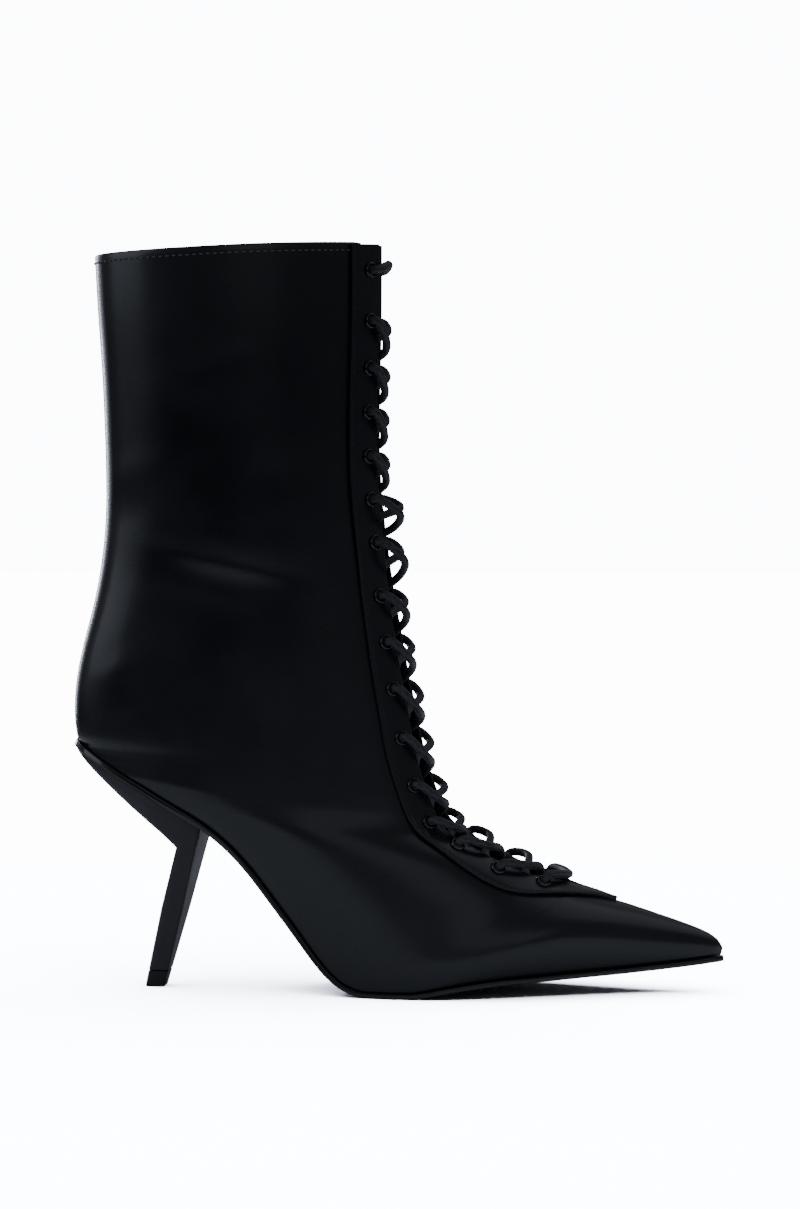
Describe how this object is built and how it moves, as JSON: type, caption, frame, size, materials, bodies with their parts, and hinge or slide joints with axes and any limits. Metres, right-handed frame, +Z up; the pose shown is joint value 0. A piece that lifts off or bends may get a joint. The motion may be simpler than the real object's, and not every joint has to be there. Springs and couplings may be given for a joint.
{
  "type": "lace-up ankle boot",
  "caption": "Right pointed ankle boot on a slanted blade heel, with a straight shaft and a lace crossed through ring eyelets down the front to the vamp.",
  "frame": {"origin": "the middle of the boot's box on the floor plane", "axes": "+X to the toe, +Z up, +Y to the inner side of this right boot"},
  "size_m": [0.2518, 0.076, 0.2869],
  "materials": {
    "upper_leather": "smooth black calf leather, semi-gloss",
    "band_leather": "smooth black calf leather with folded and stitched edges",
    "tongue_leather": "soft black lining leather",
    "insole_leather": "matt black sock leather",
    "sole_lacquer": "glossy black edge and satin black underside",
    "heel_cover": "matt charcoal leather cover",
    "top_piece_rubber": "hard black rubber",
    "stud_metal": "polished nickel plate",
    "eyelet_enamel": "glossy black enamel on brass",
    "lace_cord": "round waxed braided cotton cord"
  },
  "bodies": {
    "root": {"upper": "upper_leather", "eyestay": "band_leather", "tongue": "tongue_leather", "insole": "insole_leather", "outsole": "sole_lacquer", "heel": "heel_cover", "top_piece": "top_piece_rubber", "waist_stud": "stud_metal", "lace": "lace_cord", "eyelet_outer_01": "eyelet_enamel", "eyelet_inner_01": "eyelet_enamel", "eyelet_outer_02": "eyelet_enamel", "eyelet_inner_02": "eyelet_enamel", "eyelet_outer_03": "eyelet_enamel", "eyelet_inner_03": "eyelet_enamel", "eyelet_outer_04": "eyelet_enamel", "eyelet_inner_04": "eyelet_enamel", "eyelet_outer_05": "eyelet_enamel", "eyelet_inner_05": "eyelet_enamel", "eyelet_outer_06": "eyelet_enamel", "eyelet_inner_06": "eyelet_enamel", "eyelet_outer_07": "eyelet_enamel", "eyelet_inner_07": "eyelet_enamel", "eyelet_outer_08": "eyelet_enamel", "eyelet_inner_08": "eyelet_enamel", "eyelet_outer_09": "eyelet_enamel", "eyelet_inner_09": "eyelet_enamel", "eyelet_outer_10": "eyelet_enamel", "eyelet_inner_10": "eyelet_enamel", "eyelet_outer_11": "eyelet_enamel", "eyelet_inner_11": "eyelet_enamel", "eyelet_outer_12": "eyelet_enamel", "eyelet_inner_12": "eyelet_enamel", "eyelet_outer_13": "eyelet_enamel", "eyelet_inner_13": "eyelet_enamel", "eyelet_outer_14": "eyelet_enamel", "eyelet_inner_14": "eyelet_enamel", "eyelet_outer_15": "eyelet_enamel", "eyelet_inner_15": "eyelet_enamel", "eyelet_outer_16": "eyelet_enamel", "eyelet_inner_16": "eyelet_enamel"}
  },
  "joints": []
}
